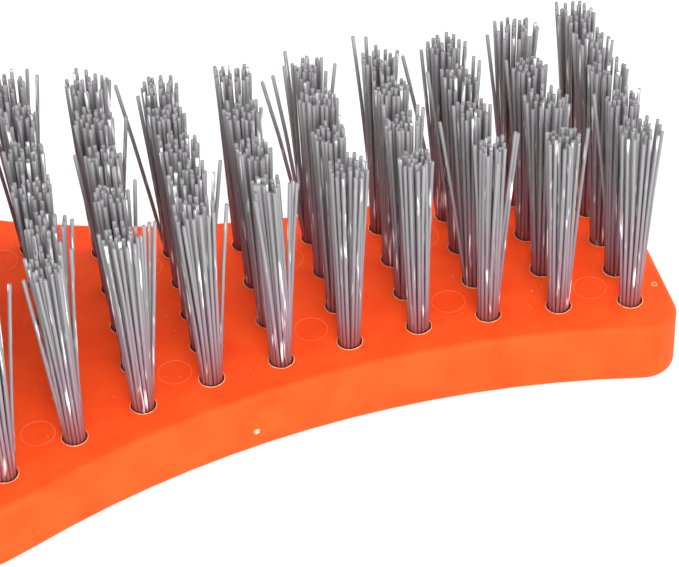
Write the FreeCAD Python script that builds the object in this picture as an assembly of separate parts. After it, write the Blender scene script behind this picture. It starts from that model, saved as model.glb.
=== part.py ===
import FreeCAD, Part
import math
import os

# Wire brush: a one-piece moulded plastic body (flat head plate with an in-line handle) and
# crosswise rows of straight steel wire tufts, each tuft locked in its blind hole by a small
# flat steel anchor. Millimetres. The body rests on its flat back at z = 0, the bristles point
# to +Z and the narrow tip of the head points to +X. "s" is a distance from the tip end.

# Head plate
length = 258.0
plate_thickness = 7.5
plate_edge_radius = 0.65
back_edge_radius = 0.95
tip_corner_radius = 3.5
waist_s = 26.8
waist_half_width = 12.45
waist_radius = 100.8
flare_angle = 25.5
shoulder_radius = 48.0
heel_radius = 34.0
neck_radius = 22.0
neck_half_width = 11.8

# Handle
tongue_s = 113.0
tongue_radius = 12.0
handle_end_radius = 15.0
handle_edge_radius = 5.5
handle_root = -6.0
handle_top = (
    (111.0, 3.6),
    (122.0, 8.6),
    (137.0, 14.6),
    (158.0, 18.0),
    (190.0, 19.0),
    (225.0, 18.2),
    (260.0, 16.2),
)
handle_wall = 3.0
core_start_s = 131.0
core_count = 5
core_pitch = 19.6
core_rib = 2.4
core_spine = 2.6

# Hang hole, with a conical lead-in at both mouths
hang_hole_radius = 4.5
hang_hole_s = 243.0
hang_hole_low = 1.2
hang_hole_high = 15.0
hang_hole_lead = 3.0

# Tuft layout
column_count = 15
column_pitch = 7.5
first_column_s = 4.5
row_pitch = 5.775
rows_waist_s = 25.3
rows_waist_half = 8.2
rows_waist_radius = 112.5
rows_waist_end_s = 46.8
rows_margin = 4.75

# Tuft, hole and anchor
hole_radius = 1.3
hole_depth = 5.0
tuft_height = 23.0
tuft_mouth_radius = 1.28
tuft_top_radius = 2.35
anchor_width = 3.0
anchor_thickness = 0.4
anchor_height = 1.5

# Faint raised rings left by the ejector pins, in every other gap between columns
mark_radius = 1.8
mark_line = 0.1
mark_height = 0.035
mark_inset = 6.85
mark_inset_growth = 0.012
mark_gap_share = 0.47

# Tolerance for picking edges, and how far cutting tools reach past what they cut
touch = 0.01
tool_reach = 60.0

half_length = length / 2
hole_floor = plate_thickness - hole_depth
anchor_top = hole_floor + anchor_height

flare = math.radians(flare_angle)
shoulder_s = waist_s + (waist_radius + shoulder_radius) * math.sin(flare)
widest = waist_half_width + (waist_radius + shoulder_radius) * (1 - math.cos(flare))
turn = math.acos(1 - (widest - neck_half_width) / (heel_radius + neck_radius))
neck_s = shoulder_s + (heel_radius + neck_radius) * math.sin(turn)


def at(s, y, z=0.0):
    """A point from its distance s behind the tip end."""
    return FreeCAD.Vector(half_length - s, y, z)


def arc_edge(centre_s, centre_y, radius, start, end, side):
    """An arc in plan. Angles are in radians, from +X towards +Y; side -1 mirrors the arc."""
    points = []
    for angle in (start, (start + end) / 2, end):
        points.append(at(centre_s - radius * math.cos(angle), side * (centre_y + radius * math.sin(angle))))
    return Part.Arc(*points).toShape()


def line_edge(first, last):
    return Part.LineSegment(first, last).toShape()


def prism(edges, height):
    """Extrudes a closed outline along height, a vector."""
    wire = Part.Wire(Part.__sortEdges__(edges))
    return Part.Face(wire).extrude(height)


def half_width(s):
    """Half the head plate's width at a distance from the tip end."""
    if s <= waist_s + waist_radius * math.sin(flare):
        return waist_half_width + waist_radius - math.sqrt(waist_radius ** 2 - (s - waist_s) ** 2)
    radius = shoulder_radius if s < shoulder_s else heel_radius
    return widest - radius + math.sqrt(radius ** 2 - (s - shoulder_s) ** 2)


def plate_outline_side(side):
    """The plate's edges on one side, from the tip end to where the neck runs into the handle."""
    down = -math.pi / 2
    up = math.pi / 2
    tip_angle = math.asin(waist_s / waist_radius)
    waist_centre = waist_half_width + waist_radius
    return [
        arc_edge(waist_s, waist_centre, waist_radius, down + tip_angle, down - flare, side),
        arc_edge(shoulder_s, widest - shoulder_radius, shoulder_radius, up - flare, up, side),
        arc_edge(shoulder_s, widest - heel_radius, heel_radius, up, up + turn, side),
        arc_edge(neck_s, neck_half_width + neck_radius, neck_radius, down + turn, down, side),
    ]


def round_back_edge(solid, beyond_x):
    """Rounds the edge around the flat back, wherever it reaches past beyond_x."""
    low_edges = []
    for edge in solid.Edges:
        box = edge.BoundBox
        if box.ZMax < touch and box.XMax > beyond_x:
            low_edges.append(edge)
    return solid.makeFillet(back_edge_radius, low_edges)


def make_plate():
    """The flat head plate, with rounded tip corners and rounded edges around both faces."""
    tip_half_width = half_width(0)
    edges = plate_outline_side(1) + plate_outline_side(-1)
    edges.append(line_edge(at(0, -tip_half_width), at(0, tip_half_width)))
    edges.append(line_edge(at(neck_s, -neck_half_width), at(neck_s, neck_half_width)))
    plate = prism(edges, FreeCAD.Vector(0, 0, plate_thickness))
    corners = []
    for edge in plate.Edges:
        low, high = edge.Vertexes[0].Point, edge.Vertexes[-1].Point
        if abs(high.z - low.z) > plate_thickness / 2 and low.x > half_length - touch:
            corners.append(edge)
    plate = plate.makeFillet(tip_corner_radius, corners)
    rear_x = half_length - neck_s + touch
    rim = []
    for edge in plate.Edges:
        box = edge.BoundBox
        if box.ZMin > plate_thickness - touch and box.XMax > rear_x:
            rim.append(edge)
    return round_back_edge(plate.makeFillet(plate_edge_radius, rim), rear_x)


def handle_blank(inset):
    """The handle's plan, drawn in by inset, cut to its side profile, lowered by inset."""
    front = tongue_s + tongue_radius
    rear = length - handle_end_radius
    lean = math.asin((handle_end_radius - tongue_radius) / (rear - front))
    small = tongue_radius - inset
    big = handle_end_radius - inset
    tangent = math.pi / 2 + lean
    edges = [
        arc_edge(front, 0, small, -tangent, tangent, 1),
        arc_edge(rear, 0, big, tangent, 2 * math.pi - tangent, 1),
    ]
    for side in (1, -1):
        start = at(front + small * math.sin(lean), side * small * math.cos(lean))
        end = at(rear + big * math.sin(lean), side * big * math.cos(lean))
        edges.append(line_edge(start, end))
    plan = prism(edges, FreeCAD.Vector(0, 0, tool_reach))
    plan.translate(FreeCAD.Vector(0, 0, handle_root))

    top_points = [at(s, -tool_reach, z - inset) for s, z in handle_top]
    curve = Part.BSplineCurve()
    curve.interpolate(top_points)
    first, last = top_points[0], top_points[-1]
    low_first = FreeCAD.Vector(first.x, first.y, -tool_reach)
    low_last = FreeCAD.Vector(last.x, last.y, -tool_reach)
    profile_edges = [
        curve.toShape(),
        line_edge(last, low_last),
        line_edge(low_last, low_first),
        line_edge(low_first, first),
    ]
    profile = prism(profile_edges, FreeCAD.Vector(0, 2 * tool_reach, 0))
    return plan.common(profile)


def make_handle():
    """The outside of the handle: rounded along its top edge and cut flat at the back."""
    blank = handle_blank(0)
    top_edges = []
    for face in blank.Faces:
        normal = face.normalAt(0.5 * sum(face.ParameterRange[:2]), 0.5 * sum(face.ParameterRange[2:]))
        if normal.z > 0.5:
            top_edges.extend(face.Edges)
    rounded = blank.makeFillet(handle_edge_radius, top_edges)
    corner = FreeCAD.Vector(-length, -tool_reach, 0)
    above_back = Part.makeBox(2 * length, 2 * tool_reach, tool_reach, corner)
    return round_back_edge(rounded.common(above_back), -length)


def handle_cores():
    """Open pockets in the handle's back, left between cross ribs and one spine."""
    inner = handle_blank(handle_wall)
    pockets = []
    for index in range(core_count):
        near = core_start_s + index * core_pitch
        far = near + core_pitch - core_rib
        for side in (1, -1):
            low_y = core_spine / 2 if side > 0 else -core_spine / 2 - tool_reach
            corner = at(far, low_y, -tool_reach)
            cell = Part.makeBox(far - near, tool_reach, 2 * tool_reach, corner)
            pockets.append(inner.common(cell))
    return pockets


def hang_hole():
    """The cutting tool for the hang hole and its two conical lead-ins."""
    centre = at(hang_hole_s, 0)
    up = FreeCAD.Vector(0, 0, 1)
    wide = hang_hole_radius + hang_hole_lead
    bore = Part.makeCylinder(hang_hole_radius, 2 * tool_reach, centre - up * tool_reach, up)
    low_mouth = centre + up * (hang_hole_low - hang_hole_lead)
    below = Part.makeCone(wide, hang_hole_radius, hang_hole_lead, low_mouth, up)
    above = Part.makeCone(hang_hole_radius, wide, hang_hole_lead, centre + up * hang_hole_high, up)
    return [bore, below, above]


def column_layout():
    """For each column, its distance from the tip end and the y of each tuft."""
    columns = []
    for index in range(column_count):
        s = first_column_s + index * column_pitch
        half = half_width(s) - rows_margin
        if s < rows_waist_s + rows_waist_radius:
            rise = rows_waist_radius - math.sqrt(rows_waist_radius ** 2 - (s - rows_waist_s) ** 2)
            waisted = rows_waist_half + rise
            half = waisted if s < rows_waist_end_s else min(half, waisted)
        gaps = round(2 * half / row_pitch)
        ys = [-half + 2 * half * row / gaps for row in range(gaps + 1)]
        columns.append((s, ys))
    return columns


def make_tuft(s, y):
    """One tuft as a plain tapered solid, from the top of its anchor to the wire ends."""
    slope = (tuft_top_radius - tuft_mouth_radius) / tuft_height
    root_radius = tuft_mouth_radius - slope * (plate_thickness - anchor_top)
    tall = plate_thickness + tuft_height - anchor_top
    return Part.makeCone(root_radius, tuft_top_radius, tall, at(s, y, anchor_top), FreeCAD.Vector(0, 0, 1))


def make_anchor(s, y):
    """One flat anchor. It is wider than its hole, so its ends bite into the plastic."""
    corner = at(s + anchor_thickness / 2, y - anchor_width / 2, hole_floor)
    return Part.makeBox(anchor_thickness, anchor_width, anchor_height, corner)


def ejector_marks():
    """Rings that stand just proud of the bristle face."""
    marks = []
    for index in range(0, column_count - 1, 2):
        s = first_column_s + (index + mark_gap_share) * column_pitch
        y = half_width(s) - mark_inset - mark_inset_growth * s
        for side in (1, -1):
            base = at(s, side * y, plate_thickness - mark_line)
            tall = mark_line + mark_height
            disc = Part.makeCylinder(mark_radius, tall, base, FreeCAD.Vector(0, 0, 1))
            inside = Part.makeCylinder(mark_radius - mark_line, tall, base, FreeCAD.Vector(0, 0, 1))
            marks.append(disc.cut(inside))
    return marks


columns = column_layout()
tuft_columns = []
anchor_columns = []
hole_tools = []
for s, ys in columns:
    tuft_columns.append([make_tuft(s, y) for y in ys])
    anchor_columns.append([make_anchor(s, y) for y in ys])
    for y in ys:
        base = at(s, y, hole_floor)
        hole_tools.append(Part.makeCylinder(hole_radius, plate_thickness, base, FreeCAD.Vector(0, 0, 1)))

body = make_plate().fuse(make_handle()).removeSplitter()
body = body.cut(handle_cores() + hang_hole())
body = body.fuse(ejector_marks()).cut(hole_tools)
all_anchors = []
for anchors in anchor_columns:
    all_anchors.extend(anchors)
body = body.cut(all_anchors)

os.makedirs("parts", exist_ok=True)
body.Solids[0].exportStep("parts/brush_body.step")
for number, (tufts, anchors) in enumerate(zip(tuft_columns, anchor_columns), start=1):
    Part.makeCompound(tufts).exportStep("parts/tuft_row_%02d.step" % number)
    Part.makeCompound(anchors).exportStep("parts/anchor_row_%02d.step" % number)

print("solids in body", len(body.Solids), "valid", body.isValid())
print("tufts per column", [len(ys) for s, ys in columns], "total", sum(len(ys) for s, ys in columns))
print("body volume mm3", round(body.Volume), "size", body.BoundBox)
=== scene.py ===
import math
import random

import bmesh
import bpy
from mathutils import Matrix, Vector


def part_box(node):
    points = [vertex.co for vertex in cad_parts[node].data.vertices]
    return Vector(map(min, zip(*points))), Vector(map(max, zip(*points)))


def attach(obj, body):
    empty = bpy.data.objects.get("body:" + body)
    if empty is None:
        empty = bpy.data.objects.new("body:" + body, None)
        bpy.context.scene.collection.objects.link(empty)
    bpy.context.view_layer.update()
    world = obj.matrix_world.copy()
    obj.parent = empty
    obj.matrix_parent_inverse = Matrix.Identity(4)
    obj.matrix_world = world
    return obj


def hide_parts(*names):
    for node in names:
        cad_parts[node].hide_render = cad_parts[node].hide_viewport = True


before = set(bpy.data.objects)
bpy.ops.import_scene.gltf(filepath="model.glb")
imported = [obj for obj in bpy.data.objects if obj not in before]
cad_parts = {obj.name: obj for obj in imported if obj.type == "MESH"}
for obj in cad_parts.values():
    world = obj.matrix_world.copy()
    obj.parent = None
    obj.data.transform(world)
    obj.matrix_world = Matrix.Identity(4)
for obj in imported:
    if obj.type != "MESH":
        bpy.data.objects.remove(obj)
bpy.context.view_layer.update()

MM = 0.001

# Sizes of the brush, in metres
FACE_Z = 0.0075
COLUMN_PITCH = 0.0075
ROW_PITCH = 0.005775
HOLE_RADIUS = 0.0013
TUFT_TOP_RADIUS = 0.00235
MARK_HEIGHT = 0.000035
COLUMNS = sorted(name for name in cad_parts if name.startswith("tuft_row_"))

# Wires of a tuft: rings of them in the hole (count, ring radius), and each wire's own shape
WIRE_RADIUS = 0.000195
WIRE_RINGS = ((15, 0.000955), (9, 0.00057), (3, 0.000225))
WIRE_SIDES = 8
WIRE_BOW = 0.00007
WIRE_STEPS = (0.0, 0.33, 0.66)
FAN_CURVE = 0.2
FREE_WIRE = 0.023
ROOT_DEPTH = 0.003
ROOT_TAPER = 0.97
CUT_BEVEL = 0.00005
CUT_NARROWING = 0.82
BUNDLE_RADIUS = WIRE_RINGS[0][1]
BUNDLE_SHIFT = 0.0001

# How much tufts and wires differ from one another: standard deviations, or a lowest and
# highest value
TUFT_LEAN = 0.00015
TUFT_HEIGHT_SPREAD = 0.00015
TUFT_TOP_WIDTHS = (0.0036, 0.0045)
END_SCATTER = 0.00013
END_HEIGHT_SPREAD = 0.00022
FAN_SHARES = (0.86, 1.08)
BENT_SHARE = 0.035
BENT_OUT = (0.0006, 0.002)
BENT_LENGTH = (-0.0003, 0.001)

# Seeds of the random draws
WIRE_SEED = 40
RIM_SEED = 3
BURR_SEED = 7

# Small raised details of the face. A ring's crest, wander and flat are shares of its size
RING_SINK = 0.00004
RING_CREST = (0.4, 1.3)
RING_WANDER = (-0.35, 0.35)
RING_FLAT = 0.4
RIM_GAP = 0.00005
RIM_HALF_WIDTH = 0.00006
RIM_HEIGHT = 0.00006
FLECKS_PER_TUFT = 2
FLECK_AWAY = (0.0017, 0.0034)
FLECK_SIZES = (0.00003, 0.00008)
FLECK_FLATNESS = 0.5

# A blister on the face: x from the tip column, y, radius, half width and height of its ring
BLISTER = (0.0032, -0.0085, 0.00028, 0.00009, 0.00010)
BLISTER_SIDES = 16

# Lumps: x from the tip column, y, height over the face, size, and flatness along Z
LUMPS = (
    (-0.0095, -0.0061, 0.0, 0.00012, 0.5),
    (-0.0414, -0.0142, -0.0048, 0.00042, 0.9),
)

# Painted reflection of the orange face on the wires, with painted shade darkest at the roots:
# its height over the face, and the tint at shares of that height
PAINTED_REFLECTION_HEIGHT = 0.014
PAINTED_REFLECTION_TINT = (
    (0.0, (1.0, 0.27, 0.26)),
    (0.13, (1.0, 0.42, 0.43)),
    (0.25, (1.0, 0.58, 0.65)),
    (0.49, (1.0, 0.76, 0.84)),
    (0.82, (1.0, 0.89, 0.95)),
    (1.0, (0.97, 0.98, 0.97)),
)

# The tufts along the -Y edge, from the tip: lean of the wire ends along X and Y and the
# width across the wire ends, in millimetres
EDGE_TUFTS = (
    (-0.05, -0.2, 4.5),
    (-0.2, -0.7, 4.0),
    (0.1, -0.5, 3.2),
    (-0.2, -0.8, 3.5),
    (0.6, 0.2, 4.5),
    (-0.4, 0.6, 3.2),
    (-0.3, 0.2, 4.3),
    (-0.4, -0.2, 4.0),
    (-0.5, 0.0, 3.6),
)

# Single wires bent well out of their tufts: column from the tip, tuft from the -Y side,
# lean of the wire's end along X and Y and its extra length, in millimetres
STRAYS = (
    (0, 1, 1.6, 0.0, 0.8),
    (0, 4, -2.2, 1.0, 1.0),
    (1, 0, 2.4, -0.5, 0.5),
    (1, 3, -2.7, 0.5, -0.5),
    (2, 0, 3.0, 0.0, 0.5),
    (2, 3, -4.6, 0.0, -0.5),
    (2, 3, -2.5, 0.5, -0.5),
    (3, 1, 2.3, 0.3, 1.0),
    (3, 1, 1.8, 0.6, 1.2),
    (4, 3, -4.6, -0.6, -0.5),
    (5, 0, 1.9, -0.4, 0.5),
    (5, 0, 2.3, 0.2, 0.2),
    (5, 0, 2.7, 0.0, 0.0),
    (5, 3, -1.6, 0.5, 1.0),
    (6, 4, -4.4, 0.3, 0.2),
    (6, 4, -2.4, -1.2, -0.5),
    (7, 0, 2.0, 0.0, 0.5),
    (7, 0, 2.6, 0.3, 0.5),
    (7, 0, 3.1, 0.0, 0.7),
    (7, 3, 3.4, 0.0, -0.5),
    (8, 0, -2.8, -1.0, -0.5),
    (8, 0, 2.2, 0.8, 0.8),
    (8, 1, 3.0, 0.0, 0.0),
    (9, 0, 3.3, 1.0, 0.5),
    (11, 8, 2.2, 1.5, 0.5),
    (12, 0, -2.5, -1.5, 0.4),
    (13, 5, -3.0, 1.0, 0.2),
)


# ---------------------------------------------------------------- materials

# Places of the colour sockets on a Mix node
MIX_COLOUR_A = 6
MIX_COLOUR_B = 7
MIX_COLOUR_RESULT = 2

# Noise scales, in repeats per metre, and how far each pattern is drawn out along the wires
MOTTLE_SCALE = 260
SHEEN_SCALE = 900
GRAIN_SCALE = 2600
TONE_SCALE = 1500
TONE_STRETCH = (1, 1, 0.03)
# Scale of the painted glints: streaks of near-white colour along the wires
GLINT_SCALE = 1700
GLINT_STRETCH = (1, 1, 0.09)
STREAK_SCALE = 3000
STREAK_STRETCH = (1, 1, 0.08)


def new_material(name):
    """A new material, with its nodes, its links and its Principled shader."""
    material = bpy.data.materials.new(name)
    material.use_nodes = True
    tree = material.node_tree
    return material, tree.nodes, tree.links, tree.nodes["Principled BSDF"]


def add_noise(nodes, links, coordinates, scale, detail, stretch=(1, 1, 1)):
    """A noise pattern in object coordinates."""
    mapping = nodes.new("ShaderNodeMapping")
    mapping.inputs["Scale"].default_value = stretch
    links.new(coordinates.outputs["Object"], mapping.inputs["Vector"])
    noise = nodes.new("ShaderNodeTexNoise")
    noise.inputs["Scale"].default_value = scale
    noise.inputs["Detail"].default_value = detail
    links.new(mapping.outputs["Vector"], noise.inputs["Vector"])
    return noise


def add_ramp(nodes, links, source, stops):
    """A colour ramp from a value; stops are (position, (r, g, b))."""
    ramp = nodes.new("ShaderNodeValToRGB")
    elements = ramp.color_ramp.elements
    while len(elements) < len(stops):
        elements.new(0.5)
    for element, (position, colour) in zip(elements, stops):
        element.position = position
        element.color = (*colour, 1)
    links.new(source, ramp.inputs["Fac"])
    return ramp


def plastic_material(name, light, dark):
    """Satin, slightly translucent moulded plastic with faint mottling and a fine grain."""
    material, nodes, links, shader = new_material(name)
    coordinates = nodes.new("ShaderNodeTexCoord")
    mottle = add_noise(nodes, links, coordinates, MOTTLE_SCALE, 4)
    colour = add_ramp(nodes, links, mottle.outputs["Fac"], ((0.35, dark), (0.65, light)))
    links.new(colour.outputs["Color"], shader.inputs["Base Color"])
    sheen = add_noise(nodes, links, coordinates, SHEEN_SCALE, 3)
    rough = nodes.new("ShaderNodeMapRange")
    rough.inputs["To Min"].default_value = 0.50
    rough.inputs["To Max"].default_value = 0.62
    links.new(sheen.outputs["Fac"], rough.inputs["Value"])
    links.new(rough.outputs["Result"], shader.inputs["Roughness"])
    grain = add_noise(nodes, links, coordinates, GRAIN_SCALE, 2)
    bump = nodes.new("ShaderNodeBump")
    bump.inputs["Strength"].default_value = 0.12
    bump.inputs["Distance"].default_value = 0.00005
    links.new(grain.outputs["Fac"], bump.inputs["Height"])
    links.new(bump.outputs["Normal"], shader.inputs["Normal"])
    shader.inputs["Specular IOR Level"].default_value = 0.08
    shader.inputs["Subsurface Weight"].default_value = 0.35
    shader.inputs["Subsurface Radius"].default_value = (1.0, 0.35, 0.12)
    shader.inputs["Subsurface Scale"].default_value = 0.0016
    return material


def steel_material(name, light, dark, glint_colour, roughness):
    """Drawn steel wire: uneven in tone, with a painted reflection of the orange face and painted
    shade near the roots, and painted glints in streaks.
    """
    material, nodes, links, shader = new_material(name)
    coordinates = nodes.new("ShaderNodeTexCoord")
    tone = add_noise(nodes, links, coordinates, TONE_SCALE, 2, TONE_STRETCH)
    colour = add_ramp(nodes, links, tone.outputs["Fac"], ((0.3, dark), (0.7, light)))
    place = nodes.new("ShaderNodeSeparateXYZ")
    links.new(coordinates.outputs["Object"], place.inputs["Vector"])
    rise = nodes.new("ShaderNodeMapRange")
    rise.inputs["From Min"].default_value = FACE_Z
    rise.inputs["From Max"].default_value = FACE_Z + PAINTED_REFLECTION_HEIGHT
    links.new(place.outputs["Z"], rise.inputs["Value"])
    # Painted reflection of the orange face, with painted shade at the roots, multiplied into the
    # wire colour by height
    painted_reflection = add_ramp(nodes, links, rise.outputs["Result"], PAINTED_REFLECTION_TINT)
    tinted = nodes.new("ShaderNodeMix")
    tinted.data_type = "RGBA"
    tinted.blend_type = "MULTIPLY"
    tinted.inputs["Factor"].default_value = 1.0
    links.new(colour.outputs["Color"], tinted.inputs[MIX_COLOUR_A])
    links.new(painted_reflection.outputs["Color"], tinted.inputs[MIX_COLOUR_B])
    # Painted glints: in streaks the wire colour is mixed towards near-white, standing in for
    # highlights
    glint_noise = add_noise(nodes, links, coordinates, GLINT_SCALE, 2, GLINT_STRETCH)
    bright = add_ramp(nodes, links, glint_noise.outputs["Fac"], ((0.62, (0, 0, 0)), (0.70, (1, 1, 1))))
    with_glints = nodes.new("ShaderNodeMix")
    with_glints.data_type = "RGBA"
    links.new(bright.outputs["Color"], with_glints.inputs["Factor"])
    links.new(tinted.outputs[MIX_COLOUR_RESULT], with_glints.inputs[MIX_COLOUR_A])
    with_glints.inputs[MIX_COLOUR_B].default_value = (*glint_colour, 1)
    links.new(with_glints.outputs[MIX_COLOUR_RESULT], shader.inputs["Base Color"])
    streak = add_noise(nodes, links, coordinates, STREAK_SCALE, 2, STREAK_STRETCH)
    rough = nodes.new("ShaderNodeMapRange")
    rough.inputs["To Min"].default_value = roughness[0]
    rough.inputs["To Max"].default_value = roughness[1]
    links.new(streak.outputs["Fac"], rough.inputs["Value"])
    links.new(rough.outputs["Result"], shader.inputs["Roughness"])
    shader.inputs["Metallic"].default_value = 0.35
    return material


body_plastic = plastic_material("body_plastic", (1.0, 0.087, 0.013), (0.96, 0.068, 0.009))
# Paler plastic on the ejector rings, a painted highlight standing in for the light their raised
# edges catch
mark_plastic = plastic_material("mark_plastic", (1.0, 0.19, 0.06), (1.0, 0.14, 0.04))
# Pale plastic for the hole lips and the burrs; on the lips the paleness is partly whitened
# plastic and partly a painted highlight
rim_plastic = plastic_material("rim_plastic", (1.0, 0.50, 0.30), (1.0, 0.34, 0.18))
# The third colour is the painted glint colour
wire_steel = steel_material(
    "wire_steel", (0.31, 0.30, 0.31), (0.25, 0.242, 0.252), (0.92, 0.92, 0.95), (0.45, 0.75)
)
# The cut ends get a darker steel: painted shade, so that the ends facing up into the light do
# not read as lit dots
cut_steel = steel_material(
    "cut_steel", (0.22, 0.215, 0.22), (0.14, 0.135, 0.14), (0.3, 0.3, 0.3), (0.45, 0.6)
)
anchor_steel = steel_material(
    "anchor_steel", (0.55, 0.55, 0.55), (0.42, 0.42, 0.42), (0.7, 0.7, 0.7), (0.3, 0.45)
)


# ---------------------------------------------------------------- meshes

def add_tube(mesh, path, radii, sides):
    """A round tube along path, with a radius at each point; its end has the second material."""
    rings = []
    for index, point in enumerate(path):
        ahead = path[min(index + 1, len(path) - 1)]
        behind = path[max(index - 1, 0)]
        forward = (ahead - behind).normalized()
        across = forward.cross(Vector((0, 1, 0))).normalized()
        over = forward.cross(across)
        ring = []
        for side in range(sides):
            angle = 2 * math.pi * side / sides
            offset = across * math.cos(angle) + over * math.sin(angle)
            ring.append(mesh.verts.new(point + offset * radii[index]))
        rings.append(ring)
    for low, high in zip(rings, rings[1:]):
        for side in range(sides):
            following = (side + 1) % sides
            face = mesh.faces.new((low[side], low[following], high[following], high[side]))
            face.smooth = True
    mesh.faces.new(rings[-1]).material_index = 1


def finish_piece(mesh, name, materials):
    """Turns a bmesh into a named piece that rides the brush."""
    bmesh.ops.recalc_face_normals(mesh, faces=mesh.faces)
    data = bpy.data.meshes.new(name)
    mesh.to_mesh(data)
    mesh.free()
    for material in materials:
        data.materials.append(material)
    piece = bpy.data.objects.new(name, data)
    bpy.context.scene.collection.objects.link(piece)
    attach(piece, "root")
    return piece


def tuft_centres(node):
    """The x of a column and the y of each of its tufts, from the box of its CAD node."""
    low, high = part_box(node)
    x = (low.x + high.x) / 2
    first = low.y + TUFT_TOP_RADIUS
    span = high.y - low.y - 2 * TUFT_TOP_RADIUS
    gaps = round(span / ROW_PITCH)
    return x, [first + span * row / gaps for row in range(gaps + 1)]


def add_wire(mesh, rng, centre, base, top, length):
    """One straight cut wire from inside its hole to its end, slightly bowed."""
    bow = Vector((rng.gauss(0, WIRE_BOW), rng.gauss(0, WIRE_BOW), 0))
    start = centre + Vector((0, 0, FACE_Z))
    path = [start + base * ROOT_TAPER - Vector((0, 0, ROOT_DEPTH))]
    for share in WIRE_STEPS:
        flow = share * (1 - FAN_CURVE + FAN_CURVE * share)
        sway = bow * math.sin(math.pi * share)
        path.append(start + base.lerp(top, flow) + sway + Vector((0, 0, length * share)))
    tip = start + top + Vector((0, 0, length))
    along = (tip - path[-1]).normalized()
    path.append(tip - along * CUT_BEVEL)
    radii = [WIRE_RADIUS] * len(path)
    path.append(tip)
    radii.append(WIRE_RADIUS * CUT_NARROWING)
    add_tube(mesh, path, radii, WIRE_SIDES)


def add_tuft(mesh, rng, centre, shape, strays):
    """A round bundle of wires, packed tight in the hole and fanned out at the top."""
    lean = Vector((rng.gauss(0, TUFT_LEAN), rng.gauss(0, TUFT_LEAN), 0))
    tuft_length = rng.gauss(0, TUFT_HEIGHT_SPREAD)
    top_width = rng.uniform(*TUFT_TOP_WIDTHS)
    if shape:
        lean = Vector((shape[0], shape[1], 0)) * MM
        top_width = shape[2] * MM
    spread = (top_width / 2 - WIRE_RADIUS) / BUNDLE_RADIUS
    for count, radius in WIRE_RINGS:
        turn = rng.uniform(0, 2 * math.pi)
        for index in range(count):
            angle = turn + 2 * math.pi * index / count
            base = Vector((math.cos(angle), math.sin(angle), 0)) * radius
            scatter = Vector((rng.gauss(0, END_SCATTER), rng.gauss(0, END_SCATTER), 0))
            top = base * spread * rng.uniform(*FAN_SHARES) + lean + scatter
            length = FREE_WIRE + tuft_length + rng.gauss(0, END_HEIGHT_SPREAD)
            if rng.random() < BENT_SHARE:
                top += base.normalized() * rng.uniform(*BENT_OUT)
                length += rng.uniform(*BENT_LENGTH)
            add_wire(mesh, rng, centre, base, top, length)
    for dx, dy, extra in strays:
        out = Vector((dx, dy, 0)) * MM
        base = out.normalized() * BUNDLE_RADIUS
        add_wire(mesh, rng, centre, base, out, FREE_WIRE + extra * MM)


def build_wires(number, node):
    """All the wires of one column as one piece, standing for the CAD node's tufts."""
    rng = random.Random(WIRE_SEED + number)
    x, rows = tuft_centres(node)
    mesh = bmesh.new()
    for row, y in enumerate(rows):
        strays = [stray[2:] for stray in STRAYS if stray[:2] == (number, row)]
        shape = EDGE_TUFTS[number] if row == 0 and number < len(EDGE_TUFTS) else None
        add_tuft(mesh, rng, Vector((x, y + BUNDLE_SHIFT, 0)), shape, strays)
    name = node.replace("tuft_row", "wires_row")
    piece = finish_piece(mesh, name, (wire_steel, cut_steel))
    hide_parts(node)


def add_ring(mesh, rng, x, y, radius, half_width, height, around=32):
    """A low ragged ring raised on the bristle face, sunk a little so that it leaves no gap."""
    rings = []
    for step in range(around):
        angle = 2 * math.pi * step / around
        ring = []
        crest = height * rng.uniform(*RING_CREST)
        wander = half_width * rng.uniform(*RING_WANDER)
        profile = (
            (-half_width, -RING_SINK),
            (wander - half_width * RING_FLAT, crest),
            (wander + half_width * RING_FLAT, crest),
            (half_width + wander, -RING_SINK),
        )
        for offset, z in profile:
            reach = radius + offset
            place = (x + reach * math.cos(angle), y + reach * math.sin(angle), FACE_Z + z)
            ring.append(mesh.verts.new(place))
        rings.append(ring)
    for step in range(around):
        one, two = rings[step], rings[(step + 1) % around]
        for corner in range(len(one)):
            following = (corner + 1) % len(one)
            face = mesh.faces.new((one[corner], two[corner], two[following], one[following]))
            face.smooth = True


def build_hole_rims():
    """The thin lip that the drill raised around every tuft hole; its pale colour is partly the
    plastic's own whitening and partly a painted highlight on the lip.
    """
    rng = random.Random(RIM_SEED)
    mesh = bmesh.new()
    for node in COLUMNS:
        x, rows = tuft_centres(node)
        for y in rows:
            add_ring(mesh, rng, x, y, HOLE_RADIUS + RIM_GAP, RIM_HALF_WIDTH, RIM_HEIGHT)
    finish_piece(mesh, "hole_rims", (rim_plastic,))


def add_fleck(mesh, place, size, flatness):
    """A tiny lump of plastic, flattened along Z."""
    matrix = Matrix.Translation(place) @ Matrix.Diagonal((size, size, size * flatness, 1))
    bmesh.ops.create_icosphere(mesh, subdivisions=1, radius=1, matrix=matrix)


def build_burrs():
    """Small moulding faults: a blister, two lumps and flecks strewn between the tufts."""
    rng = random.Random(BURR_SEED)
    mesh = bmesh.new()
    tip_x = tuft_centres(COLUMNS[0])[0]
    dx, y, radius, half_width, height = BLISTER
    add_ring(mesh, rng, tip_x + dx, y, radius, half_width, height, BLISTER_SIDES)
    for dx, y, rise, size, flatness in LUMPS:
        add_fleck(mesh, Vector((tip_x + dx, y, FACE_Z + rise)), size, flatness)
    for node in COLUMNS:
        x, rows = tuft_centres(node)
        for y in rows:
            for fleck in range(FLECKS_PER_TUFT):
                angle = rng.uniform(0, 2 * math.pi)
                away = rng.uniform(*FLECK_AWAY)
                place = Vector((x + away * math.cos(angle), y + away * math.sin(angle), FACE_Z))
                add_fleck(mesh, place, rng.uniform(*FLECK_SIZES), FLECK_FLATNESS)
    finish_piece(mesh, "plastic_burrs", (rim_plastic,))


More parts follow.
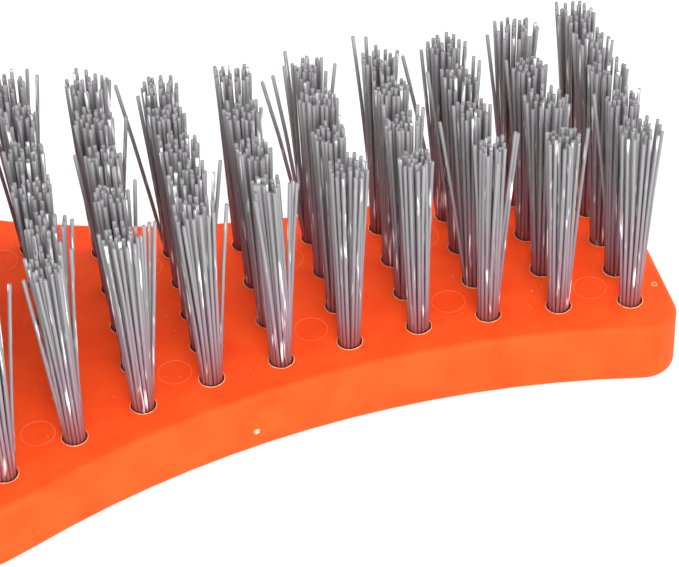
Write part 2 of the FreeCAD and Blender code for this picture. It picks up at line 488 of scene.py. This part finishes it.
def dress_body():
    """Plastic on the CAD body, with the ejector rings a little paler: a painted highlight on
    their raised edges.
    """
    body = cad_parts["brush_body"]
    body.data.materials.clear()
    body.data.materials.append(body_plastic)
    body.data.materials.append(mark_plastic)
    for face in body.data.polygons:
        above = face.center.z - FACE_Z
        on_mark = MARK_HEIGHT * 0.5 < above < MARK_HEIGHT * 1.5 and face.normal.z > 0.9
        face.material_index = 1 if on_mark else 0


for number, node in enumerate(COLUMNS):
    build_wires(number, node)
build_hole_rims()
build_burrs()
dress_body()
for name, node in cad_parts.items():
    if name.startswith("anchor_row_"):
        node.data.materials.clear()
        node.data.materials.append(anchor_steel)


# ---------------------------------------------------------------- stage

FLOOR_HALF_SIZE = 3
FLOOR_DROP = 0.0001

# The camera: its turn, downward tilt and roll in degrees, its lens and sensor width in
# millimetres, and its place in column pitches, from the point of the face that is on the
# centreline under the tip column
CAMERA_AZIMUTH = 11.6265
CAMERA_DOWN = 41.8077
CAMERA_ROLL = -2.4559
CAMERA_LENS = 139.6
CAMERA_SENSOR = 36
CAMERA_PLACE = (-9.4887, -27.2840, 24.9644)


def floor_material():
    """A plain pale floor, bright enough for only faint shadows."""
    material, nodes, links, shader = new_material("floor")
    shader.inputs["Base Color"].default_value = (0.15, 0.15, 0.15, 1)
    shader.inputs["Roughness"].default_value = 0.8
    shader.inputs["Emission Color"].default_value = (1, 1, 1, 1)
    shader.inputs["Emission Strength"].default_value = 0.85
    return material


def build_floor():
    """The floor just under the brush; it isn't part of the object."""
    mesh = bmesh.new()
    bmesh.ops.create_grid(mesh, x_segments=1, y_segments=1, size=FLOOR_HALF_SIZE)
    data = bpy.data.meshes.new("floor")
    mesh.to_mesh(data)
    mesh.free()
    data.materials.append(floor_material())
    floor = bpy.data.objects.new("floor", data)
    floor.location.z = -FLOOR_DROP
    bpy.context.scene.collection.objects.link(floor)


def add_area_light(name, place, target, size, power):
    """A soft round light at place, aimed at target; power is in watts."""
    data = bpy.data.lights.new(name, "AREA")
    data.shape = "DISK"
    data.size = size
    data.energy = power
    light = bpy.data.objects.new(name, data)
    light.location = place
    light.rotation_euler = (Vector(target) - Vector(place)).to_track_quat("-Z", "Y").to_euler()
    bpy.context.scene.collection.objects.link(light)


def set_world(strength):
    """Even white light from all around."""
    world = bpy.data.worlds.new("studio")
    world.use_nodes = True
    background = world.node_tree.nodes["Background"]
    background.inputs["Color"].default_value = (1, 1, 1, 1)
    background.inputs["Strength"].default_value = strength
    bpy.context.scene.world = world


def set_camera():
    """The camera, looking at the head from above and in front."""
    azimuth = math.radians(CAMERA_AZIMUTH)
    down = math.radians(CAMERA_DOWN)
    roll = math.radians(CAMERA_ROLL)
    ahead = math.cos(down)
    forward = Vector((math.sin(azimuth) * ahead, math.cos(azimuth) * ahead, -math.sin(down)))
    level = Vector((math.cos(azimuth), -math.sin(azimuth), 0))
    upward = level.cross(forward)
    right = level * math.cos(roll) + upward * math.sin(roll)
    top = -level * math.sin(roll) + upward * math.cos(roll)
    tip_x = tuft_centres(COLUMNS[0])[0]
    place = Vector((tip_x, 0, FACE_Z)) + Vector(CAMERA_PLACE) * COLUMN_PITCH
    turned = Matrix((right, top, -forward)).transposed().to_4x4()
    camera = bpy.data.objects.new("camera", bpy.data.cameras.new("camera"))
    camera.data.sensor_width = CAMERA_SENSOR
    camera.data.lens = CAMERA_LENS
    camera.data.clip_start = 0.01
    camera.data.clip_end = 20
    camera.matrix_world = Matrix.Translation(place) @ turned
    bpy.context.scene.collection.objects.link(camera)
    bpy.context.scene.camera = camera


build_floor()
set_world(1.6)
add_area_light("overhead", (0.05, 0.3, 1.6), (0.05, 0, 0), 1.4, 2)
add_area_light("front", (0.2, -1.3, 0.6), (0.07, 0, 0), 0.9, 16)
set_camera()
bpy.context.scene.view_settings.view_transform = "Standard"
